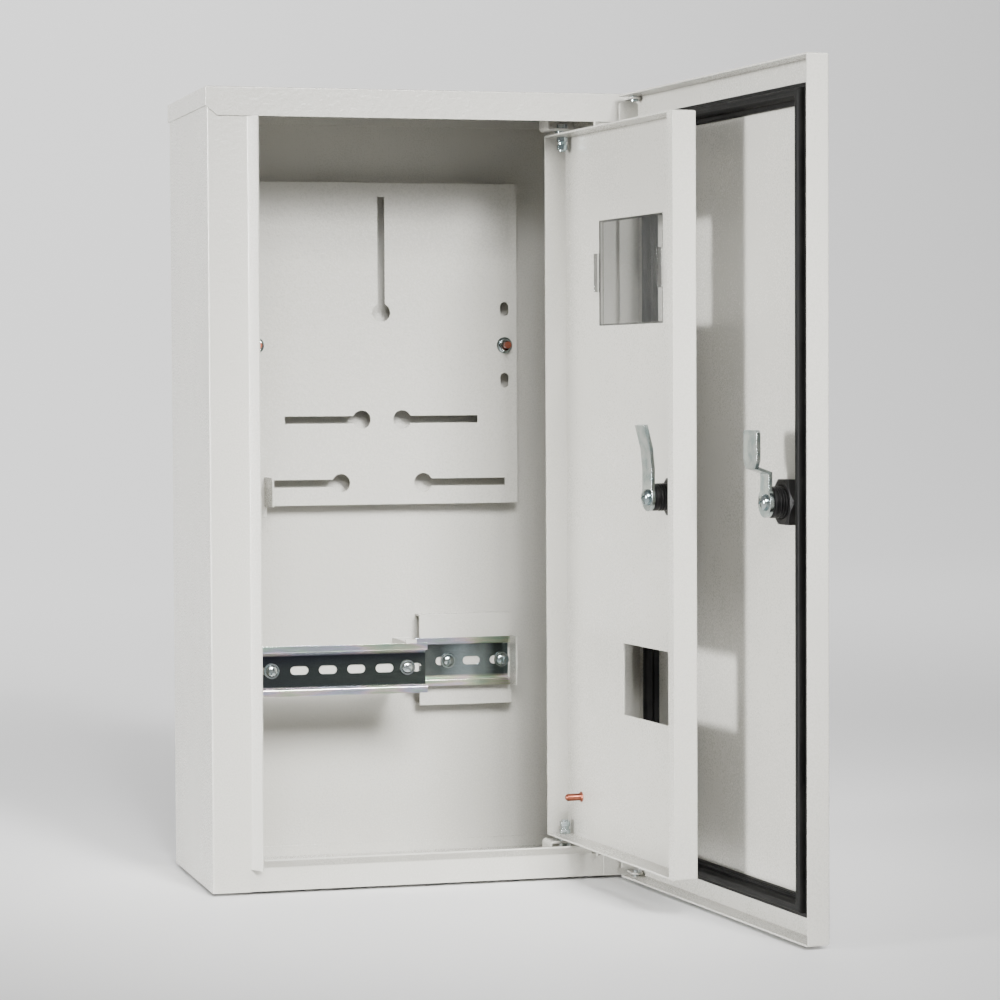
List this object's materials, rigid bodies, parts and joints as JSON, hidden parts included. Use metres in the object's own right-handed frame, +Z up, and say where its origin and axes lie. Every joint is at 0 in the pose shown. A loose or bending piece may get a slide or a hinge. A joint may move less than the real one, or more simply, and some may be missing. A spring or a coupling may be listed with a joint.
{
  "type": "electric meter box",
  "caption": "Wall-mounted sheet steel meter box with a gasketed outer door, a windowed inner door, a meter plate, mounting rails and cam locks.",
  "frame": {"origin": "centre of the four wall fixing holes, on the rear face", "axes": "+X to the right seen from the front, +Y into the wall, +Z up; the doors face -Y"},
  "size_m": [0.3248, 0.4564, 0.5436],
  "materials": {
    "paint": "semi-gloss light grey powder coat",
    "zinc": "bright zinc plate",
    "rail_zinc": "iridescent passivated zinc",
    "copper": "copper flash",
    "rubber": "black rubber",
    "black_plastic": "black plastic",
    "clear_plastic": "clear plastic"
  },
  "bodies": {
    "body": {"body_shell": "paint", "roof_cap": "paint", "base_tray": "paint", "cable_grommet_left": "rubber", "cable_grommet_middle": "rubber", "cable_grommet_right": "rubber", "meter_plate": "paint", "plate_tab": "paint", "plate_studs": "copper", "plate_sleeves": "zinc", "plate_nuts": "zinc", "front_rail": "rail_zinc", "front_rail_screws": "zinc", "front_rail_bridge": "paint", "rear_rail": "rail_zinc", "rear_rail_screws": "zinc", "rear_rail_bracket": "paint", "outer_hinge_ear_top": "paint", "outer_hinge_ear_bottom": "paint", "inner_hinge_bracket_top": "paint", "inner_hinge_bracket_bottom": "paint", "outer_strike": "paint", "inner_strike": "paint"},
    "outer_door": {"outer_door": "paint", "door_gasket": "rubber", "outer_lock_housing": "black_plastic", "outer_lock_nut": "black_plastic", "outer_hinge_pin_top": "zinc", "outer_hinge_pin_bottom": "zinc"},
    "outer_latch": {"outer_lock_rotor": "zinc", "outer_cam": "zinc", "outer_cam_screw": "zinc"},
    "inner_door": {"inner_door": "paint", "window_pane": "clear_plastic", "earth_stud": "copper", "inner_lock_housing": "black_plastic", "inner_lock_nut": "black_plastic", "inner_hinge_spacer_top": "zinc", "inner_hinge_nut_top": "zinc", "inner_hinge_bolt_top": "zinc", "inner_hinge_spacer_bottom": "zinc", "inner_hinge_nut_bottom": "zinc", "inner_hinge_bolt_bottom": "zinc"},
    "inner_latch": {"inner_lock_rotor": "zinc", "inner_cam": "zinc", "inner_cam_screw": "zinc"}
  },
  "joints": [
    {"name": "outer_door_hinge", "type": "hinge", "parent": "body", "child": "outer_door", "pos_m": [0.144, -0.1626, 0], "axis": [0, 0, 1], "range_deg": [-94.5, 5]},
    {"name": "inner_door_hinge", "type": "hinge", "parent": "body", "child": "inner_door", "pos_m": [0.1037, -0.1244, 0], "axis": [0, 0, 1], "range_deg": [-94.5, 5]},
    {"name": "outer_cam_turn", "type": "hinge", "parent": "outer_door", "child": "outer_latch", "pos_m": [0.16793, -0.40547, -0.0025], "axis": [0.9969, 0.0785, 0], "range_deg": [0, 90]},
    {"name": "inner_cam_turn", "type": "hinge", "parent": "inner_door", "child": "inner_latch", "pos_m": [0.1241, -0.30837, -0.002], "axis": [0.9969, 0.0785, 0], "range_deg": [0, 90]}
  ],
  "couplings": [
    {"joint": "inner_door_hinge", "follows": "outer_door_hinge", "ratio": 1}
  ]
}
